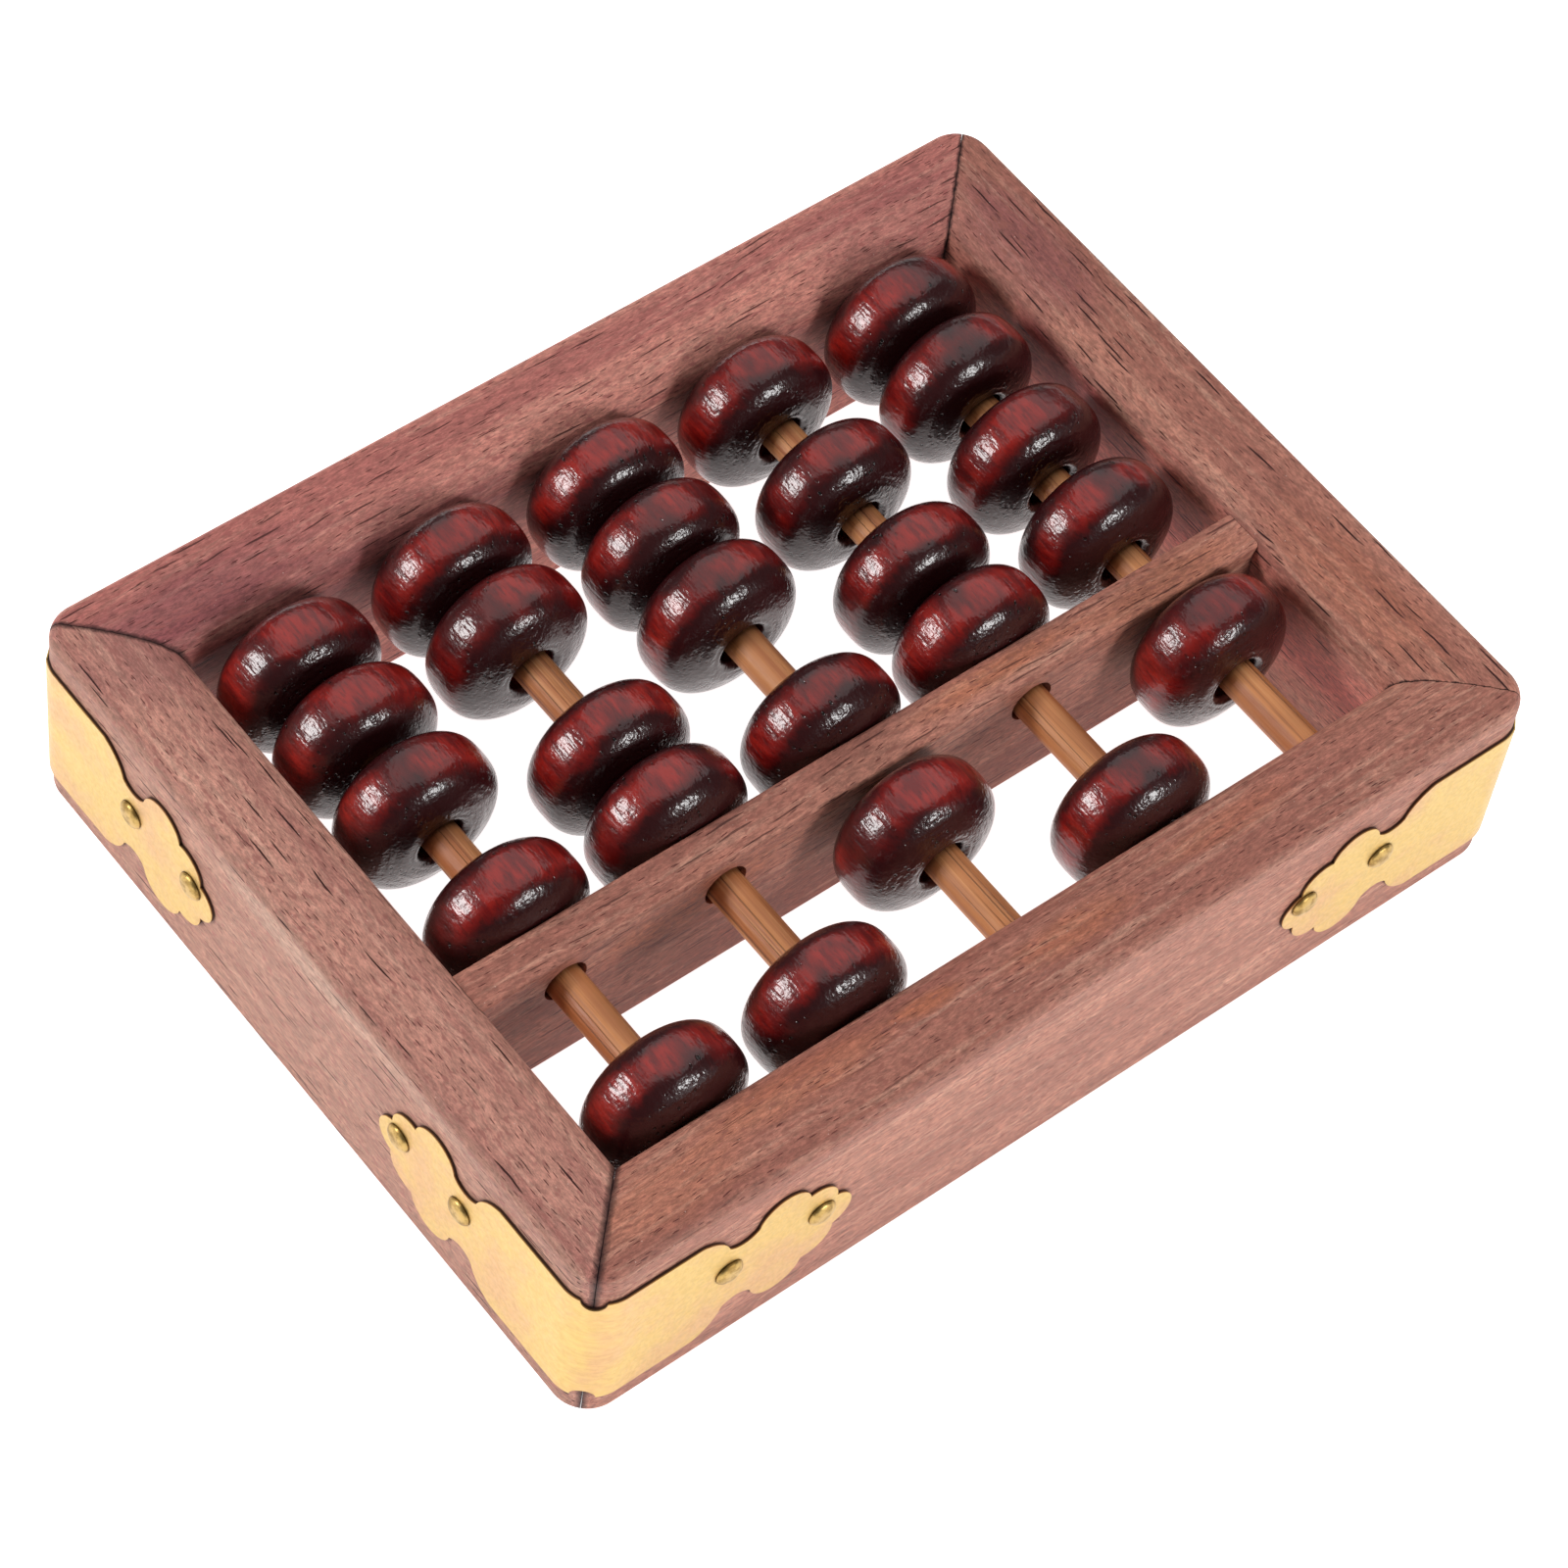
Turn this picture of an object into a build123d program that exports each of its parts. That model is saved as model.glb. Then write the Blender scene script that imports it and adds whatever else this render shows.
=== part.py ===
"""Small wooden abacus with five rods, one bead above the beam and four below on each.

Millimetres. +X runs along the long rails, +Y from the four-bead deck towards the one-bead
deck, +Z up. The origin is the middle of the footprint, on the surface the frame rests on.
"""

import math
import os

from build123d import *

# frame
frame_length = 100.6
frame_width = 77.9
corner_radius = 3.4
top_edge_radius = 1.4
bottom_edge_radius = 0.5
rail_bottom_width = 8.25
rail_top_width = 9.15
rail_shoulder_z = 18.5
rail_crown_z = 21.95
rail_allowance = 1.0
mitre_gap = 0.04

# beam between the decks
beam_low_y = 8.4
beam_high_y = 12.5
beam_bottom_z = 5.6
beam_top_z = 20.4
beam_hole_diameter = 4.3
beam_hole_z = 17.05
tenon_length = 2.0
tenon_margin = 1.0
tenon_bottom_z = 8.0
tenon_top_z = 16.0
tenon_play = 0.1

# rods
rod_diameter = 3.4
rod_z = 16.9
rod_pitch = 16.5
rod_count = 5
rod_seat_depth = 5.0
rod_seat_diameter = 3.5

# beads
bead_diameter = 14.8
bead_thickness = 7.8
bore_diameter = 4.5
bore_edge_y = 3.4
bead_hang_gap = 0.1
bead_z = rod_z - (bore_diameter - rod_diameter) / 2 + bead_hang_gap

# brass corner plates and their nails
plate_thickness = 0.3
plate_half_height = 7.6
plate_z = 10.5
plate_gap = 0.02
plate_reach = 26.6
nail_rise = 1.0
nick_radius = 1.1
nail_head_diameter = 2.7
nail_head_height = 0.55
nail_rim_height = 0.12
nail_flat_radius = 0.3
nail_shank_diameter = 1.2
nail_length = 6.0
nail_point_length = 1.2
nail_point_radius = 0.15
nail_hole_diameter = 1.3

half_length = frame_length / 2
half_width = frame_width / 2
beam_thickness = beam_high_y - beam_low_y
beam_middle_y = (beam_low_y + beam_high_y) / 2
tenon_middle_z = (tenon_bottom_z + tenon_top_z) / 2
rod_places = [(column - (rod_count - 1) / 2) * rod_pitch for column in range(rod_count)]

# Bead middles along each rod, from the low rail to the high one: four earth beads, then the
# heaven bead. The columns run from -X to +X.
bead_places = [
    [-25.85, -17.95, -8.35, 1.55, 16.75],
    [-25.85, -14.70, -3.75, 4.40, 25.80],
    [-25.85, -17.95, -10.05, 4.40, 17.10],
    [-25.85, -17.95, -3.50, 4.40, 25.80],
    [-25.00, -16.90, -8.35, 4.40, 25.80],
]

# The brass corners were bent and nailed by hand, so their legs differ. Each entry gives how much
# longer than plate_reach a leg is, and how far from the corner its two nails stand.
even_leg = (0.0, 15.0, 23.7)
plate_legs = {
    "left_low": {"long": even_leg, "short": even_leg},
    "left_high": {"long": (0.4, 16.1, 24.8), "short": even_leg},
    "right_low": {"long": even_leg, "short": (0.0, 14.9, 23.6)},
    "right_high": {"long": (0.1, 14.0, 23.5), "short": (0.9, 16.5, 24.8)},
}
corner_sides = {
    "left_low": (-1, -1),
    "left_high": (-1, 1),
    "right_low": (1, -1),
    "right_high": (1, 1),
}

os.makedirs("parts", exist_ok=True)


def save(part, name):
    part.label = name
    export_step(part, f"parts/{name}.step")


# ------------------------------------------------------------------ frame rails
def rail_profile():
    """Outline of a rail's section: x is the distance in from the outer face, y is height."""
    Polyline(
        (rail_bottom_width - 1.0, 0.0),
        (-rail_allowance, 0.0),
        (-rail_allowance, rail_crown_z - 0.5),
    )
    ThreePointArc(
        (-rail_allowance, rail_crown_z - 0.5),
        (2.9, rail_crown_z),
        (rail_top_width - 3.0, rail_crown_z - 0.3),
    )
    ThreePointArc(
        (rail_top_width - 3.0, rail_crown_z - 0.3),
        (rail_top_width - 1.7, rail_crown_z - 0.75),
        (rail_top_width - 0.7, rail_crown_z - 1.45),
    )
    ThreePointArc(
        (rail_top_width - 0.7, rail_crown_z - 1.45),
        (rail_top_width - 0.2, rail_crown_z - 2.35),
        (rail_top_width, rail_shoulder_z),
    )
    Line((rail_top_width, rail_shoulder_z), (rail_bottom_width, 1.1))
    ThreePointArc(
        (rail_bottom_width, 1.1),
        (rail_bottom_width - 0.25, 0.3),
        (rail_bottom_width - 1.0, 0.0),
    )


def rail(length, distance_to_face):
    """A rail along local X that faces +Y, mitred at both ends, with wood to spare outside."""
    blank_length = length + 2 * rail_allowance
    section_plane = Plane(
        origin=(blank_length / 2, distance_to_face, 0),
        x_dir=(0, -1, 0),
        z_dir=(-1, 0, 0),
    )
    with BuildPart() as blank:
        with BuildSketch(section_plane):
            with BuildLine():
                rail_profile()
            make_face()
        extrude(amount=blank_length)
        for side in (-1, 1):
            corner = (side * (length / 2 - mitre_gap), distance_to_face, 0)
            split(bisect_by=Plane(origin=corner, z_dir=(side, -1, 0)), keep=Keep.BOTTOM)
    return blank.part


def nail_places(face):
    """Every nail on the long or the short faces: distance along the face, which face, height."""
    places = []
    for corner, (x_side, y_side) in corner_sides.items():
        for spot in plate_legs[corner][face][1:]:
            if face == "long":
                places.append((x_side * (half_length - spot), y_side))
            else:
                places.append((y_side * (half_width - spot), x_side))
    return places


# The whole frame was sanded together: this block rounds its outer edges and corners.
with BuildPart() as sanded:
    with BuildSketch(Plane.XY):
        RectangleRounded(frame_length, frame_width, corner_radius)
    extrude(amount=rail_crown_z + 0.05)
    fillet(sanded.faces().sort_by(Axis.Z)[-1].edges(), radius=top_edge_radius)
    fillet(sanded.faces().sort_by(Axis.Z)[0].edges(), radius=bottom_edge_radius)

long_blank = rail(frame_length, half_width)
short_blank = rail(frame_width, half_length)
nail_hole_depth = nail_length + 0.5
nail_z = plate_z + nail_rise

for name, y_side in (("rail_low", -1), ("rail_high", 1)):
    with BuildPart() as long_rail:
        with Locations(Location((0, 0, 0), (0, 0, 90 - 90 * y_side))):
            add(long_blank)
        add(sanded.part, mode=Mode.INTERSECT)
        seat_y = y_side * (half_width - rail_top_width + rod_seat_depth / 2 - 0.5)
        with Locations([(x, seat_y, rod_z) for x in rod_places]):
            Cylinder(
                rod_seat_diameter / 2,
                rod_seat_depth + 1.0,
                rotation=(90, 0, 0),
                mode=Mode.SUBTRACT,
            )
        hole_y = y_side * (half_width - nail_hole_depth / 2 + 0.5)
        spots = [x for x, side in nail_places("long") if side == y_side]
        with Locations([(x, hole_y, nail_z) for x in spots]):
            Cylinder(
                nail_hole_diameter / 2,
                nail_hole_depth + 1.0,
                rotation=(90, 0, 0),
                mode=Mode.SUBTRACT,
            )
    save(long_rail.part, name)

for name, x_side in (("rail_left", -1), ("rail_right", 1)):
    with BuildPart() as short_rail:
        with Locations(Location((0, 0, 0), (0, 0, -90 * x_side))):
            add(short_blank)
        add(sanded.part, mode=Mode.INTERSECT)
        mortise_x = x_side * (half_length - rail_top_width + tenon_length / 2)
        with Locations((mortise_x, beam_middle_y, tenon_middle_z)):
            Box(
                tenon_length + 1.2,
                beam_thickness - 2 * tenon_margin + tenon_play,
                tenon_top_z - tenon_bottom_z + tenon_play,
                mode=Mode.SUBTRACT,
            )
        hole_x = x_side * (half_length - nail_hole_depth / 2 + 0.5)
        spots = [y for y, side in nail_places("short") if side == x_side]
        with Locations([(hole_x, y, nail_z) for y in spots]):
            Cylinder(
                nail_hole_diameter / 2,
                nail_hole_depth + 1.0,
                rotation=(0, 90, 0),
                mode=Mode.SUBTRACT,
            )
    save(short_rail.part, name)

# ------------------------------------------------------------------ beam
with BuildPart() as beam:
    # The ends follow the leaning inner faces of the short rails.
    with BuildSketch(Plane.XZ.offset(-beam_high_y)):
        with BuildLine():
            low_x = half_length - rail_bottom_width - 0.26
            shoulder_x = half_length - rail_top_width - 0.02
            top_x = half_length - rail_top_width + 0.58
            Line((-low_x, beam_bottom_z), (low_x, beam_bottom_z))
            for side in (-1, 1):
                shoulder = (side * shoulder_x, rail_shoulder_z)
                Line((side * low_x, beam_bottom_z), shoulder)
                ThreePointArc(
                    shoulder,
                    (side * (half_length - rail_top_width + 0.16), 19.6),
                    (side * top_x, beam_top_z),
                )
            Line((-top_x, beam_top_z), (top_x, beam_top_z))
        make_face()
    extrude(amount=beam_thickness)
    fillet(beam.edges().filter_by(Axis.X), radius=0.35)
    with Locations((0, beam_middle_y, tenon_middle_z)):
        Box(
            frame_length - 2 * (rail_top_width - tenon_length),
            beam_thickness - 2 * tenon_margin,
            tenon_top_z - tenon_bottom_z,
        )
    with Locations([(x, beam_middle_y, beam_hole_z) for x in rod_places]):
        Cylinder(
            beam_hole_diameter / 2,
            beam_thickness + 2,
            rotation=(90, 0, 0),
            mode=Mode.SUBTRACT,
        )
save(beam.part, "beam")

# ------------------------------------------------------------------ rods
rod_length = 2 * (half_width - rail_top_width + rod_seat_depth - 0.1)
for column, x in enumerate(rod_places, start=1):
    with BuildPart() as rod:
        with Locations((x, 0, rod_z)):
            Cylinder(rod_diameter / 2, rod_length, rotation=(90, 0, 0))
        chamfer(rod.edges().filter_by(GeomType.CIRCLE), length=0.3)
    save(rod.part, f"rod_{column}")

# ------------------------------------------------------------------ beads
outer = bead_diameter / 2
half_thick = bead_thickness / 2
bore = bore_diameter / 2

with BuildPart() as bead_blank:
    with BuildSketch(Plane.XY) as bead_section:
        with BuildLine():
            for end in (-1, 1):
                Spline(
                    (outer, 0),
                    (outer - 0.37, end * 2.03),
                    (outer - 1.48, end * 3.1),
                    (outer - 2.95, end * 3.68),
                    (outer - 4.3, end * half_thick),
                    tangents=((0, end), (-1, 0)),
                )
                ThreePointArc(
                    (outer - 4.3, end * half_thick),
                    (bore + 0.2, end * 3.74),
                    (bore, end * bore_edge_y),
                )
            Line((bore, -bore_edge_y), (bore, bore_edge_y))
        make_face()
    revolve(axis=Axis.Y)

for column, places in enumerate(bead_places, start=1):
    for number, y in enumerate(places, start=1):
        with BuildPart() as bead:
            with Locations((rod_places[column - 1], y, bead_z)):
                add(bead_blank.part)
        if number < len(places):
            save(bead.part, f"earth_bead_{column}_{number}")
        else:
            save(bead.part, f"heaven_bead_{column}")

# ------------------------------------------------------------------ brass corner plates
bend_start = corner_radius + 0.02


def leg_plane(face, x_side, y_side, height, lift):
    """A plane lift outside one outer face: x runs along the leg, away from the corner."""
    if face == "long":
        origin = (x_side * half_length, y_side * (half_width + lift), height)
        return Plane(origin=origin, x_dir=(-x_side, 0, 0), z_dir=(0, y_side, 0))
    origin = (x_side * (half_length + lift), y_side * half_width, height)
    return Plane(origin=origin, x_dir=(0, -y_side, 0), z_dir=(x_side, 0, 0))


def plate_outline(tip):
    """One leg of the stamped plate: x is the distance from the corner, y from the middle line."""
    for side in (-1, 1):
        top = side * plate_half_height
        Line((bend_start, top), (tip - 15.8, top))
        ThreePointArc((tip - 15.8, top), (tip - 13.9, side * 6.45), (tip - 12.9, side * 4.75))
        ThreePointArc(
            (tip - 12.9, side * 4.75),
            (tip - 11.5, side * 4.15),
            (tip - 9.9, side * 4.95),
        )
        ThreePointArc(
            (tip - 9.9, side * 4.95),
            (tip - 7.2, side * 7.1),
            (tip - 4.7, side * 4.9),
        )
        ThreePointArc(
            (tip - 4.7, side * 4.9),
            (tip - 2.7, side * 4.5),
            (tip - 1.7, side * 2.3),
        )
    ThreePointArc((tip - 1.7, -2.3), (tip, 0), (tip - 1.7, 2.3))
    Line((bend_start, -plate_half_height), (bend_start, plate_half_height))


head_radius = nail_head_diameter / 2
shank_radius = nail_shank_diameter / 2

with BuildPart() as nail_blank:
    with BuildSketch(Plane.XZ):
        with BuildLine():
            Polyline(
                (0, nail_head_height),
                (0, -nail_length),
                (nail_point_radius, -nail_length),
                (shank_radius, -nail_length + nail_point_length),
                (shank_radius, plate_gap),
                (head_radius, plate_gap),
                (head_radius, nail_rim_height),
            )
            Spline(
                (head_radius, nail_rim_height),
                (head_radius * 0.75, nail_head_height * 0.8),
                (nail_flat_radius, nail_head_height),
                tangents=((-0.3, 1), (-1, 0)),
            )
            Line((nail_flat_radius, nail_head_height), (0, nail_head_height))
        make_face()
    revolve(axis=Axis.Z)

for corner, (x_side, y_side) in corner_sides.items():
    legs = plate_legs[corner]
    with BuildPart() as plate:
        for face, (extra, *spots) in legs.items():
            with BuildSketch(leg_plane(face, x_side, y_side, plate_z, plate_gap)):
                with BuildLine():
                    plate_outline(plate_reach + extra)
                make_face()
            extrude(amount=plate_thickness)
        centre = (x_side * (half_length - bend_start), y_side * (half_width - bend_start))
        with BuildSketch(Plane.XY.offset(plate_z - plate_half_height)):
            with Locations(centre):
                Circle(bend_start + plate_gap + plate_thickness)
                Circle(bend_start + plate_gap, mode=Mode.SUBTRACT)
                reach = bend_start + plate_gap + plate_thickness
                with Locations((x_side * reach / 2, y_side * reach / 2)):
                    Rectangle(reach, reach, mode=Mode.INTERSECT)
        extrude(amount=2 * plate_half_height)
        # a small round nick at the top and bottom of the bend
        bend_depth = corner_radius * (1 - math.sqrt(0.5))
        for end in (-1, 1):
            nick_plane = Plane(
                origin=(
                    x_side * (half_length - bend_depth),
                    y_side * (half_width - bend_depth),
                    plate_z + end * (plate_half_height + nick_radius / 10),
                ),
                z_dir=(x_side, y_side, 0),
            )
            with Locations(nick_plane):
                Cylinder(nick_radius, 4.0, mode=Mode.SUBTRACT)
        for face, (extra, *spots) in legs.items():
            with Locations(leg_plane(face, x_side, y_side, nail_z, plate_gap)):
                with Locations([(spot, 0, 0) for spot in spots]):
                    Cylinder(nail_hole_diameter / 2, 3.0, mode=Mode.SUBTRACT)
    save(plate.part, f"corner_plate_{corner}")

    with BuildPart() as nails:
        for face, (extra, *spots) in legs.items():
            with Locations(leg_plane(face, x_side, y_side, nail_z, plate_gap + plate_thickness)):
                with Locations([(spot, 0, 0) for spot in spots]):
                    add(nail_blank.part)
    save(nails.part, f"nails_{corner}")
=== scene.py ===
"""Looks for the small wooden abacus: materials, floor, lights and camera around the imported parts."""

import math
import random

import bpy
from mathutils import Matrix, Vector


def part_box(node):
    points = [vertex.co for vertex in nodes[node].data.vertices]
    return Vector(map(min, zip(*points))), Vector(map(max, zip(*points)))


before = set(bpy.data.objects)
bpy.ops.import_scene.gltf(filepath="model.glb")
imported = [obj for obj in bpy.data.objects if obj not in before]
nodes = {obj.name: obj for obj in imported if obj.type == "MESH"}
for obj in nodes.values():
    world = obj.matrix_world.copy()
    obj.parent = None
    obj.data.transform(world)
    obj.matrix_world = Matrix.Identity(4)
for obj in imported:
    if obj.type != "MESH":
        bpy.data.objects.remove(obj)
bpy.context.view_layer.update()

MM = 0.001  # one millimetre, in metres

# ------------------------------------------------------------------ colours


def paint(red, green, blue):
    """A screen colour from 0 to 255 as the linear colour that a shader wants."""
    linear = []
    for value in (red, green, blue):
        share = value / 255
        linear.append(share / 12.92 if share <= 0.04045 else ((share + 0.055) / 1.055) ** 2.4)
    return (*linear, 1.0)


# ------------------------------------------------------------------ shader graphs


class Graph:
    """Adds nodes to one material and joins them."""

    def __init__(self, name):
        self.material = bpy.data.materials.new(name)
        self.material.use_nodes = True
        self.tree = self.material.node_tree
        self.tree.nodes.clear()
        output = self.tree.nodes.new("ShaderNodeOutputMaterial")
        self.shader = self.tree.nodes.new("ShaderNodeBsdfPrincipled")
        self.tree.links.new(self.shader.outputs[0], output.inputs["Surface"])

    def put(self, node, socket, value):
        """Links a socket, or sets its own value."""
        target = node.inputs[socket]
        if isinstance(value, bpy.types.NodeSocket):
            self.tree.links.new(value, target)
        else:
            target.default_value = value

    def node(self, kind, inputs, **settings):
        """Adds a node, with inputs by socket and settings by attribute."""
        made = self.tree.nodes.new(kind)
        for key, value in settings.items():
            setattr(made, key, value)
        for socket, value in inputs.items():
            self.put(made, socket, value)
        return made

    def math(self, operation, first, second=0.0, clamp=False):
        made = self.node("ShaderNodeMath", {0: first, 1: second}, operation=operation)
        made.use_clamp = clamp
        return made.outputs[0]

    def weigh(self, *terms):
        """The sum of values, each times its weight."""
        parts = [self.math("MULTIPLY", value, weight) for value, weight in terms]
        total = parts[0]
        for part in parts[1:]:
            total = self.math("ADD", total, part)
        return total

    def diagonal(self, first, second):
        return self.math("SQRT", self.weigh((first, first), (second, second)))

    def stray(self, value, noise, amount, middle=0.5):
        """value pushed up and down by a noise around its middle."""
        swing = self.math("SUBTRACT", noise, middle)
        return self.math("ADD", value, self.math("MULTIPLY", swing, amount))

    def position(self):
        """The point on the object in its own frame, in millimetres."""
        place = self.tree.nodes.new("ShaderNodeTexCoord").outputs["Object"]
        scaled = self.node("ShaderNodeVectorMath", {0: place, "Scale": 1 / MM}, operation="SCALE")
        return scaled.outputs[0]

    def split(self, vector):
        parts = self.node("ShaderNodeSeparateXYZ", {0: vector})
        return parts.outputs[0], parts.outputs[1], parts.outputs[2]

    def join(self, x, y, z):
        return self.node("ShaderNodeCombineXYZ", {0: x, 1: y, 2: z}).outputs[0]

    def stretch(self, vector, scale, shift):
        """vector times scale plus shift, part by part. A noise of the result has features about
        1 / scale millimetres in size."""
        made = self.node(
            "ShaderNodeVectorMath", {0: vector, 1: scale, 2: shift}, operation="MULTIPLY_ADD"
        )
        return made.outputs[0]

    def noise(self, vector, scale=1.0, detail=2.0, roughness=0.5):
        """Smooth noise, mostly between 0.3 and 0.7."""
        made = self.node(
            "ShaderNodeTexNoise",
            {"Vector": vector, "Scale": scale, "Detail": detail, "Roughness": roughness},
        )
        return made.outputs[0]

    def cells(self, vector):
        """Distance to the nearest of a scatter of points."""
        made = self.node("ShaderNodeTexVoronoi", {"Vector": vector, "Scale": 1.0})
        return made.outputs["Distance"]

    def ramp(self, value, low, high, start=0.0, end=1.0):
        """value from low to high turned smoothly into start to end."""
        made = self.node(
            "ShaderNodeMapRange",
            {"Value": value, "From Min": low, "From Max": high, "To Min": start, "To Max": end},
            interpolation_type="SMOOTHSTEP",
        )
        return made.outputs[0]

    def mix(self, share, first, second, blend="MIX"):
        """first at a share of 0, second at a share of 1."""
        made = self.tree.nodes.new("ShaderNodeMix")
        made.data_type = "RGBA"
        made.blend_type = blend
        sockets = {socket.identifier: socket for socket in made.inputs}
        for key, value in (("Factor_Float", share), ("A_Color", first), ("B_Color", second)):
            if isinstance(value, bpy.types.NodeSocket):
                self.tree.links.new(value, sockets[key])
            else:
                sockets[key].default_value = value
        return next(socket for socket in made.outputs if socket.identifier == "Result_Color")

    def bump(self, height, depth):
        """A surface normal from a height of 0 to 1 that is depth metres deep."""
        inputs = {"Height": height, "Distance": depth, "Strength": 1.0}
        return self.node("ShaderNodeBump", inputs).outputs[0]

    def shade(self, colour, value):
        """colour times a grey value."""
        return self.mix(1.0, colour, value, blend="MULTIPLY")

    def blob(self, place, centre, radii, ragged):
        """1 inside an ellipsoid round centre, falling to 0 outside it, with a ragged border."""
        scale = tuple(1 / radius for radius in radii)
        shift = tuple(-c / radius for c, radius in zip(centre, radii))
        offset = self.stretch(place, scale, shift)
        away = self.node("ShaderNodeVectorMath", {0: offset}, operation="LENGTH").outputs["Value"]
        return self.ramp(self.stray(away, ragged, 1.2), 1.5, 0.5)

    def occlusion_shade(self, distance):
        """Painted shade: 1 in the open, less where another surface stands within distance metres."""
        made = self.node("ShaderNodeAmbientOcclusion", {"Distance": distance}, samples=6)
        return made.outputs["AO"]


# ------------------------------------------------------------------ sizes, in millimetres

half_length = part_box("rail_right")[1][0] / MM
half_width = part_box("rail_high")[1][1] / MM
plate_face_x, plate_face_y = (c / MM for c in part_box("corner_plate_right_high")[1][:2])
plate_bend = 3.8  # about the outer radius of the plates' bend
rail_top = 21.0  # about the height of the rails' tops
seam_offset = half_length - half_width

# ------------------------------------------------------------------ materials


def wood(name, along, seed, tones, openness, stains_and_painted_light, seams):
    """Reddish hardwood, grain along X or Y. Openness is how dark its long pores are. Each stain, or
    patch of painted light, is a tinted place: its centre, its radii, its tint and the tint's strength."""
    base, dark, light = tones
    g = Graph(name)
    place = g.position()
    x, y, z = g.split(place)
    run, across = (x, y) if along == "x" else (y, x)
    shift = (seed * 17.3, seed * 5.1, seed * 3.7)
    grain = g.join(run, across, z)
    sway = g.noise(g.stretch(grain, (0.025, 0.07, 0.07), shift), detail=1.0)
    wiggle = g.noise(g.stretch(grain, (0.22, 0.5, 0.5), shift), detail=1.0)
    bent = g.math("ADD", across, g.weigh((sway, 3.0), (wiggle, 0.5)))
    grain = g.join(run, bent, z)

    bands = g.noise(g.stretch(grain, (0.014, 0.26, 0.26), shift), detail=2.0, roughness=0.55)
    streaks = g.noise(g.stretch(grain, (0.06, 1.3, 1.3), shift), detail=3.0, roughness=0.6)
    fibre = g.noise(g.stretch(grain, (1.0, 4.5, 4.5), shift), detail=4.0, roughness=0.85)
    mottle = g.noise(g.stretch(grain, (0.8, 1.4, 1.4), shift), detail=3.0, roughness=0.65)
    flecks = g.noise(g.stretch(grain, (1.1, 3.0, 3.0), shift), detail=1.0)
    pores = g.cells(g.stretch(grain, (0.085, 2.0, 2.0), shift))
    fine_pores = g.cells(g.stretch(grain, (0.45, 4.0, 4.0), shift))
    specks = g.cells(g.stretch(place, (0.85, 0.85, 0.85), shift))

    colour = g.mix(g.ramp(bands, 0.38, 0.62, 0.0, 0.65), base, dark)
    colour = g.mix(g.ramp(streaks, 0.48, 0.72, 0.0, 0.40), colour, light)
    ragged = g.noise(g.stretch(grain, (0.12, 0.5, 0.5), shift), detail=3.0, roughness=0.65)
    for centre, radii, tint, strength in stains_and_painted_light:
        inside = g.blob(place, centre, radii, ragged)
        colour = g.mix(g.math("MULTIPLY", inside, strength), colour, tint)
    # painted shade: the four outer faces are painted darker and paler than the tops
    fade, skin = 0.9, 0.05
    side_shade_x, side_shade_y = 0.76, 0.90
    outer_x = g.ramp(g.math("ABSOLUTE", x), half_length - fade, half_length - skin, 1.0, side_shade_x)
    outer_y = g.ramp(g.math("ABSOLUTE", y), half_width - fade, half_width - skin, 1.0, side_shade_y)
    side_shade = g.math("MULTIPLY", outer_x, outer_y)
    colour = g.mix(g.ramp(side_shade, 1.0, side_shade_x, 0.0, 0.35), colour, paint(196, 152, 126))
    colour = g.shade(colour, side_shade)

    colour = g.shade(colour, g.ramp(fibre, 0.34, 0.66, 0.70, 1.30))
    colour = g.shade(colour, g.ramp(mottle, 0.30, 0.70, 0.86, 1.12))
    colour = g.mix(g.ramp(flecks, 0.56, 0.70, 0.0, 0.70), colour, dark)
    pore_mask = g.ramp(pores, 0.195, 0.13, 0.0, openness)
    fine_mask = g.ramp(fine_pores, 0.21, 0.13, 0.0, 0.85)
    colour = g.mix(fine_mask, colour, paint(92, 40, 38))
    colour = g.mix(pore_mask, colour, paint(60, 22, 20))
    colour = g.mix(g.ramp(specks, 0.06, 0.03, 0.0, 0.5), colour, paint(226, 200, 186))

    height = g.math("SUBTRACT", g.math("MULTIPLY", fibre, 0.55), pore_mask)
    height = g.math("SUBTRACT", height, g.math("MULTIPLY", fine_mask, 0.5))

    if seams:
        # dark joint along each mitre, widened with painted shadow where one rail stands above the
        # other: widest at the +X +Y corner, thinnest at -X +Y
        away = g.math("SUBTRACT", g.math("ABSOLUTE", x), g.math("ABSOLUTE", y))
        away = g.math("ABSOLUTE", g.math("SUBTRACT", away, seam_offset))
        burr = g.noise(g.stretch(place, (1.6, 1.6, 1.6), shift), detail=3.0, roughness=0.7)
        away = g.stray(away, burr, 0.9, middle=0.45)
        side_x = g.math("DIVIDE", x, half_length)
        side_y = g.math("DIVIDE", y, half_width)
        which_corner = g.math("MULTIPLY", side_x, side_y)
        reach = g.math("ADD", 0.50, g.weigh((side_x, 0.22), (which_corner, 0.16)))
        seam_dark_and_shadow = g.math("SUBTRACT", 1.0, g.math("DIVIDE", away, reach), clamp=True)
        colour = g.mix(g.math("POWER", seam_dark_and_shadow, 0.6), colour, paint(44, 16, 16))

    # painted shade where another part stands close, as at the plates and seams
    colour = g.shade(colour, g.ramp(g.occlusion_shade(0.35 * MM), 0.40, 0.90, 0.45, 1.0))
    g.put(g.shader, "Base Color", colour)
    g.put(g.shader, "Roughness", g.ramp(fibre, 0.2, 0.8, 0.50, 0.72))
    g.put(g.shader, "Specular IOR Level", 0.30)
    g.put(g.shader, "Normal", g.bump(height, 0.07 * MM))
    return g.material


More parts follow.
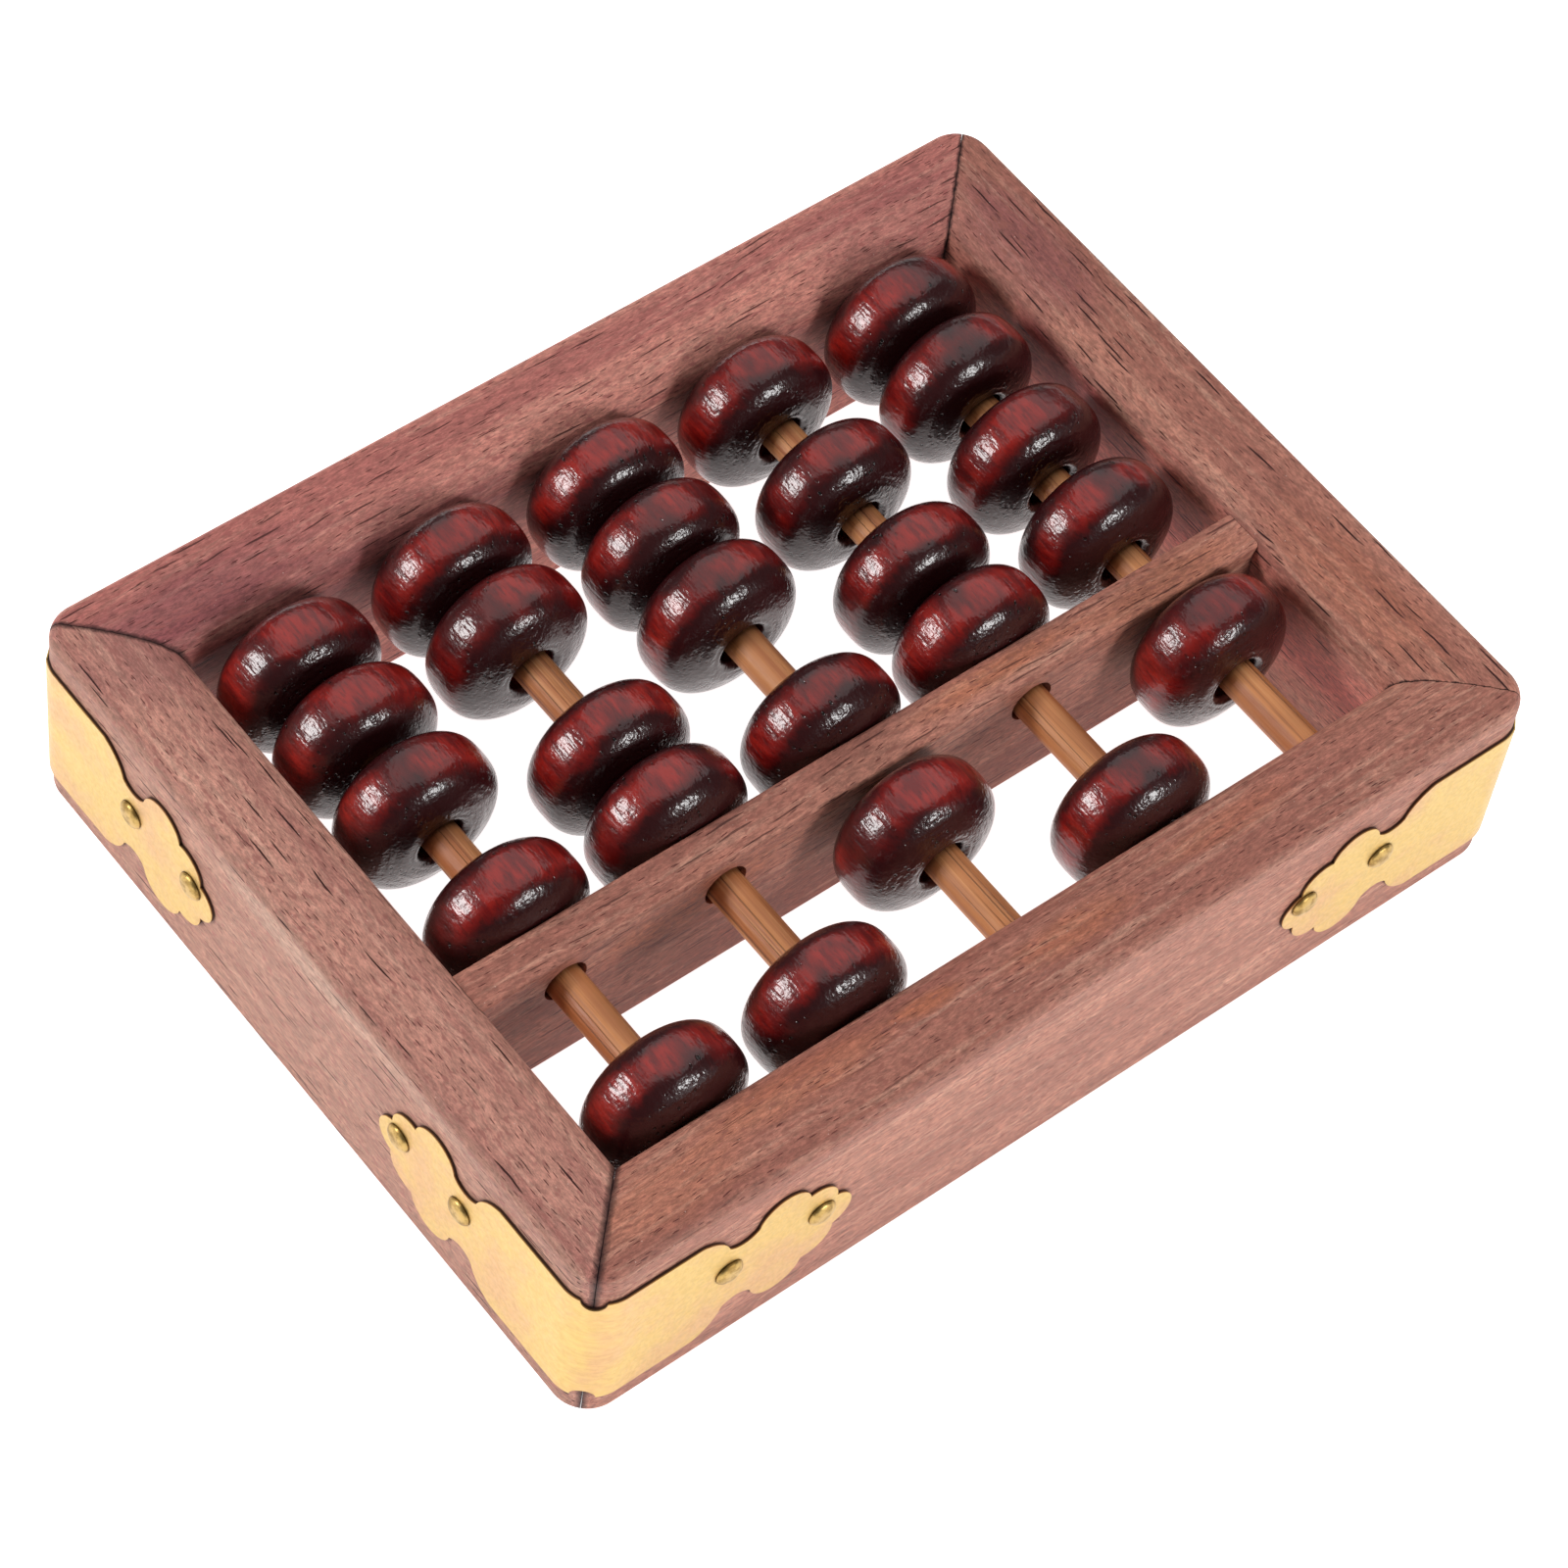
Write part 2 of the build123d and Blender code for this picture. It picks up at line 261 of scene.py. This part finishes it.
def lacquer(name, centre, seed, redness):
    """Stained bead under gloss lacquer. Its two faces are painted darker than its rim, partly as a
    darker stain and partly as painted shade, and a higher redness keeps the dark nearer to them."""
    g = Graph(name)
    place = g.stretch(g.position(), (1, 1, 1), tuple(-c / MM for c in centre))
    x, y, z = g.split(place)
    radius = g.diagonal(x, z)
    shift = (seed * 7.7, seed * 3.1, seed * 5.9)
    # the grain runs along the bore
    grain = g.noise(g.stretch(place, (1.6, 0.30, 1.6), shift), detail=2.0)
    fine = g.noise(g.stretch(place, (4.2, 0.9, 4.2), shift), detail=1.0)
    cloud = g.noise(g.stretch(place, (0.20, 0.16, 0.20), shift), detail=2.0)
    pits = g.cells(g.stretch(place, (1.5, 0.8, 1.5), shift))
    orange_peel = g.noise(g.stretch(place, (1.7, 1.7, 1.7), shift), detail=2.0)
    pitted = g.ramp(g.noise(g.stretch(place, (0.28, 0.28, 0.28), shift)), 0.42, 0.60)

    side = g.stray(g.math("ABSOLUTE", y), grain, 1.8)
    side = g.stray(side, cloud, 3.4)
    # the faces are painted darker than the rim: darker stain and painted shade
    face = g.ramp(side, 0.7 * redness, 2.5 * redness)
    red = g.mix(g.ramp(grain, 0.34, 0.66), paint(112, 11, 11), paint(156, 28, 19))
    red = g.mix(g.ramp(cloud, 0.44, 0.66, 0.0, 0.8), red, paint(70, 8, 11))
    colour = g.mix(face, red, paint(50, 8, 11))
    colour = g.mix(g.ramp(fine, 0.46, 0.30, 0.0, 0.35), colour, paint(40, 6, 8))
    pit_mask = g.math("MULTIPLY", g.ramp(pits, 0.25, 0.14), g.math("MULTIPLY", face, pitted))
    colour = g.mix(pit_mask, colour, paint(10, 4, 4))

    # tool rings and wrinkles round the bore on the faces
    warp = g.math("MULTIPLY", orange_peel, 9.0)
    rings = g.math("SINE", g.math("ADD", g.math("MULTIPLY", radius, 8.0), warp))
    rings = g.math("MULTIPLY", rings, g.ramp(g.math("ABSOLUTE", y), 2.2, 3.3))
    ring_weight = g.math("MULTIPLY", pitted, 0.20)
    height = g.weigh((fine, 0.4), (grain, 0.6), (orange_peel, 0.8), (rings, ring_weight))
    height = g.math("SUBTRACT", height, pit_mask)
    normal = g.bump(height, 0.07 * MM)

    g.put(g.shader, "Base Color", colour)
    g.put(g.shader, "Roughness", g.ramp(cloud, 0.3, 0.7, 0.42, 0.52))
    g.put(g.shader, "Specular IOR Level", 0.12)
    g.put(g.shader, "Coat Weight", 1.0)
    g.put(g.shader, "Coat Roughness", 0.20)
    g.put(g.shader, "Normal", normal)
    g.put(g.shader, "Coat Normal", normal)
    return g.material


def bamboo(name, seed):
    """Split bamboo rod, its fibres along Y."""
    g = Graph(name)
    place = g.position()
    shift = (seed * 9.1, seed * 2.3, seed * 6.7)
    fibre = g.noise(g.stretch(place, (3.2, 0.05, 3.2), shift), detail=4.0, roughness=0.7)
    broad = g.noise(g.stretch(place, (0.9, 0.03, 0.9), shift), detail=2.0)
    grooves = g.noise(g.stretch(place, (5.0, 0.02, 5.0), shift), detail=1.0)
    colour = g.mix(g.ramp(broad, 0.35, 0.65), paint(214, 142, 86), paint(184, 110, 64))
    colour = g.mix(g.ramp(fibre, 0.5, 0.75, 0.0, 0.6), colour, paint(236, 178, 122))
    colour = g.mix(g.ramp(fibre, 0.46, 0.3, 0.0, 0.6), colour, paint(142, 76, 44))
    groove = g.ramp(grooves, 0.36, 0.30)
    colour = g.mix(g.math("MULTIPLY", groove, 0.6), colour, paint(104, 54, 32))
    height = g.math("SUBTRACT", g.math("MULTIPLY", fibre, 0.7), groove)
    # painted shade where beads, beam and rails stand close to the rod
    colour = g.shade(colour, g.ramp(g.occlusion_shade(1.0 * MM), 0.3, 0.9, 0.4, 1.0))
    g.put(g.shader, "Base Color", colour)
    g.put(g.shader, "Roughness", g.ramp(fibre, 0.3, 0.7, 0.38, 0.55))
    g.put(g.shader, "Specular IOR Level", 0.45)
    g.put(g.shader, "Normal", g.bump(height, 0.10 * MM))
    return g.material


def brass_sheet(name, seed):
    """Satin stamped brass with faint scratches, peach tarnish, and cut edges painted dark as shade."""
    g = Graph(name)
    place = g.position()
    x, y, z = g.split(place)
    shift = (seed * 4.4, seed * 8.3, seed * 2.9)
    tarnish = g.noise(g.stretch(place, (0.13, 0.13, 0.13), shift), detail=4.0, roughness=0.65)
    specks = g.noise(g.stretch(place, (1.6, 1.6, 1.6), shift), detail=4.0, roughness=0.75)
    brushed = g.noise(g.stretch(place, (0.35, 0.35, 7.0), shift), detail=3.0, roughness=0.7)
    swirl = g.math("MULTIPLY", g.noise(g.stretch(place, (0.2, 0.2, 0.2), shift)), 3.0)
    along = g.math("ADD", g.math("ADD", x, y), swirl)
    scratch = g.noise(g.join(along, z, swirl), scale=2.4, detail=3.0)
    colour = g.mix(g.ramp(tarnish, 0.40, 0.66), paint(208, 176, 108), paint(204, 164, 116))
    colour = g.mix(g.ramp(specks, 0.42, 0.26, 0.0, 0.35), colour, paint(176, 140, 82))
    colour = g.shade(colour, g.ramp(scratch, 0.30, 0.70, 0.93, 1.06))

    # how far below the plate's outer surface a point lies; the cut edges reach all the way in
    in_x = g.math("SUBTRACT", g.math("ABSOLUTE", x), plate_face_x - plate_bend)
    in_y = g.math("SUBTRACT", g.math("ABSOLUTE", y), plate_face_y - plate_bend)
    curved = g.diagonal(g.math("MAXIMUM", in_x, 0.0), g.math("MAXIMUM", in_y, 0.0))
    flat = g.math("MINIMUM", g.math("MAXIMUM", in_x, in_y), 0.0)
    depth = g.math("SUBTRACT", plate_bend, g.math("ADD", curved, flat))
    # painted shade: the cut edges are painted dark brown and made less metallic
    cut_edge_shade = g.ramp(depth, 0.05, 0.12)
    colour = g.mix(cut_edge_shade, colour, paint(70, 42, 24))
    # painted shade where the plate meets the wood and the nails
    colour = g.shade(colour, g.ramp(g.occlusion_shade(0.3 * MM), 0.4, 0.9, 0.35, 1.0))

    height = g.weigh((brushed, 0.4), (specks, 0.4), (scratch, 0.4))
    g.put(g.shader, "Base Color", colour)
    g.put(g.shader, "Metallic", g.ramp(cut_edge_shade, 0.0, 1.0, 1.0, 0.2))
    g.put(g.shader, "Roughness", g.ramp(specks, 0.3, 0.7, 0.36, 0.50))
    g.put(g.shader, "Normal", g.bump(height, 0.016 * MM))
    return g.material


def brass_nails(name, seed):
    """Duller, darker brass of the nail heads, with painted shade round them where they meet the plate.
    """
    g = Graph(name)
    place = g.position()
    shift = (seed * 3.4, seed * 1.3, seed * 7.9)
    stain = g.noise(g.stretch(place, (0.9, 0.9, 0.9), shift), detail=4.0, roughness=0.65)
    colour = g.mix(g.ramp(stain, 0.4, 0.65), paint(192, 160, 98), paint(150, 120, 66))
    # painted shade, very dark, round the heads where they meet the plate
    colour = g.shade(colour, g.ramp(g.occlusion_shade(0.5 * MM), 0.35, 0.90, 0.12, 1.0))
    g.put(g.shader, "Base Color", colour)
    g.put(g.shader, "Metallic", 1.0)
    g.put(g.shader, "Roughness", g.ramp(stain, 0.35, 0.7, 0.38, 0.52))
    g.put(g.shader, "Normal", g.bump(stain, 0.05 * MM))
    return g.material


def dress(node, material):
    """Gives a CAD node its only material."""
    slots = nodes[node].data.materials
    slots.clear()
    slots.append(material)


# base, dark and light tone of each stick
rose = (paint(192, 136, 120), paint(158, 98, 90), paint(224, 178, 156))
violet = (paint(198, 130, 116), paint(164, 92, 88), paint(224, 168, 148))
brown = (paint(182, 122, 104), paint(148, 90, 78), paint(220, 172, 148))

purple = paint(112, 48, 66)
orange = paint(182, 104, 66)
wine = paint(140, 66, 62)
blush_and_painted_light = paint(208, 104, 96)
painted_highlight_tan = paint(204, 168, 150)

# tinted places on each stick, stains and patches of painted light: centre, radii, tint and strength
patches = {
    "rail_low": [
        ((40.0, -33.0, rail_top), (13.0, 3.0, 8.0), purple, 0.55),
        ((20.0, -31.0, 16.0), (14.0, 3.0, 6.0), purple, 0.35),
        ((-38.0, -33.0, rail_top), (9.0, 4.0, 8.0), purple, 0.25),
    ],
    "rail_high": [
        ((-20.0, 33.5, rail_top), (7.0, 1.4, 4.0), orange, 0.30),
        ((-30.0, 33.0, rail_top), (10.0, 2.2, 4.0), wine, 0.22),
        ((18.0, 31.5, rail_top), (12.0, 1.6, 4.0), wine, 0.22),
        ((12.0, 33.0, rail_top), (3.0, 0.9, 4.0), orange, 0.55),
        ((-2.0, 34.5, rail_top), (6.0, 1.6, 4.0), orange, 0.40),
        ((26.0, 33.0, rail_top), (9.0, 2.0, 4.0), orange, 0.35),
        ((40.0, 35.0, rail_top), (7.0, 2.5, 4.0), orange, 0.25),
    ],
    "rail_left": [
        # redder tone and painted light on the inner face, lifting it out of its shade
        ((-41.4, 0.0, 14.0), (1.4, 40.0, 5.0), blush_and_painted_light, 0.60),
        ((-45.0, -24.0, rail_top), (3.5, 9.0, 4.0), purple, 0.45),
        ((-42.0, -12.0, 17.0), (1.6, 9.0, 3.0), purple, 0.45),
        ((-45.0, 22.0, rail_top), (3.0, 10.0, 4.0), orange, 0.25),
    ],
    "rail_right": [
        # painted highlight along the rounded outer top edge
        ((half_length, -2.0, 19.3), (1.6, 9.0, 1.6), painted_highlight_tan, 0.75),
        ((half_length, 14.0, 19.8), (1.2, 10.0, 1.0), painted_highlight_tan, 0.50),
        ((45.0, -31.0, rail_top), (4.0, 5.0, 5.0), purple, 0.25),
    ],
    "beam": [
        ((-14.0, 10.0, 20.0), (8.0, 1.0, 2.0), orange, 0.50),
        ((20.0, 12.0, 17.0), (10.0, 2.0, 2.5), orange, 0.45),
        ((-32.0, 11.0, 20.0), (8.0, 2.0, 3.0), orange, 0.35),
    ],
}

# node, direction of the grain, tones, and openness of the pores
sticks = (
    ("rail_low", "x", violet, 0.8),
    ("rail_high", "x", brown, 0.35),
    ("rail_left", "y", brown, 1.0),
    ("rail_right", "y", rose, 1.0),
    ("beam", "x", brown, 0.7),
)
for seed, (node, along, tones, openness) in enumerate(sticks, start=1):
    seams = node != "beam"
    dress(node, wood(f"{node}_wood", along, seed, tones, openness, patches[node], seams))

chance = random.Random(7)
for seed, node in enumerate(sorted(name for name in nodes if "bead" in name), start=1):
    low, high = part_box(node)
    redness = chance.uniform(0.8, 1.25)
    dress(node, lacquer(f"{node}_lacquer", (low + high) / 2, seed, redness))

families = (
    ("rod_", bamboo, "bamboo"),
    ("corner_plate", brass_sheet, "brass"),
    ("nails", brass_nails, "brass"),
)
for prefix, make, finish in families:
    members = sorted(name for name in nodes if name.startswith(prefix))
    for seed, node in enumerate(members, start=1):
        dress(node, make(f"{node}_{finish}", seed))

# ------------------------------------------------------------------ floor


def floor_material():
    """White table that glows, so that it stays white in the shade."""
    g = Graph("white_table")
    grain = g.noise(g.position(), scale=0.05, detail=2.0)
    g.put(g.shader, "Base Color", g.mix(grain, (0.90, 0.90, 0.90, 1.0), (0.94, 0.94, 0.94, 1.0)))
    g.put(g.shader, "Roughness", 0.9)
    g.put(g.shader, "Specular IOR Level", 0.1)
    g.put(g.shader, "Emission Color", (1.0, 1.0, 1.0, 1.0))
    g.put(g.shader, "Emission Strength", 0.96)
    return g.material


floor_mesh = bpy.data.meshes.new("table_top")
half_side = 1.5  # metres
corners = [(x * half_side, y * half_side, 0) for x, y in ((-1, -1), (1, -1), (1, 1), (-1, 1))]
floor_mesh.from_pydata(corners, [], [(0, 1, 2, 3)])
floor_mesh.materials.append(floor_material())
floor = bpy.data.objects.new("table_top", floor_mesh)
bpy.context.scene.collection.objects.link(floor)

# ------------------------------------------------------------------ lights


def softbox(name, direction, distance, size, radiance):
    """A square area light that faces the object; radiance is what its surface looks like."""
    lamp = bpy.data.lights.new(name, "AREA")
    lamp.shape = "SQUARE"
    lamp.size = size
    lamp.energy = radiance * math.pi * size * size
    holder = bpy.data.objects.new(name, lamp)
    bpy.context.scene.collection.objects.link(holder)
    towards = Vector(direction).normalized()
    holder.location = towards * distance
    holder.rotation_euler = towards.to_track_quat("Z", "Y").to_euler()


softbox("softbox_left", (0.75, -0.43, 0.50), distance=0.75, size=0.21, radiance=21.5)
softbox("softbox_right", (-0.27, 0.89, 0.38), distance=0.75, size=0.19, radiance=21.5)
softbox("ceiling_panel", (-0.30, -0.30, 0.90), distance=1.10, size=1.70, radiance=0.95)

world = bpy.data.worlds.new("studio")
world.use_nodes = True
background = world.node_tree.nodes["Background"]
background.inputs["Color"].default_value = (1.0, 1.0, 1.0, 1.0)
background.inputs["Strength"].default_value = 0.08
bpy.context.scene.world = world
bpy.context.scene.view_settings.view_transform = "Standard"

# ------------------------------------------------------------------ camera

azimuth = math.radians(134.27)
elevation = math.radians(55.11)
roll = math.radians(9.31)
target = Vector((0.00024, 0.00140, 0.00500))
distance = 0.4615

back = Vector(
    (
        math.sin(azimuth) * math.cos(elevation),
        -math.cos(azimuth) * math.cos(elevation),
        math.sin(elevation),
    )
)
level = Vector((math.cos(azimuth), math.sin(azimuth), 0))
upward = back.cross(level)
right = math.cos(roll) * level + math.sin(roll) * upward
up = math.cos(roll) * upward - math.sin(roll) * level

lens = bpy.data.cameras.new("camera")
lens.sensor_width = 36
lens.lens = 122.47
lens.clip_start = 0.01
camera = bpy.data.objects.new("camera", lens)
bpy.context.scene.collection.objects.link(camera)
turn = Matrix((right, up, back)).transposed().to_4x4()
camera.matrix_world = Matrix.Translation(target + back * distance) @ turn
bpy.context.scene.camera = camera
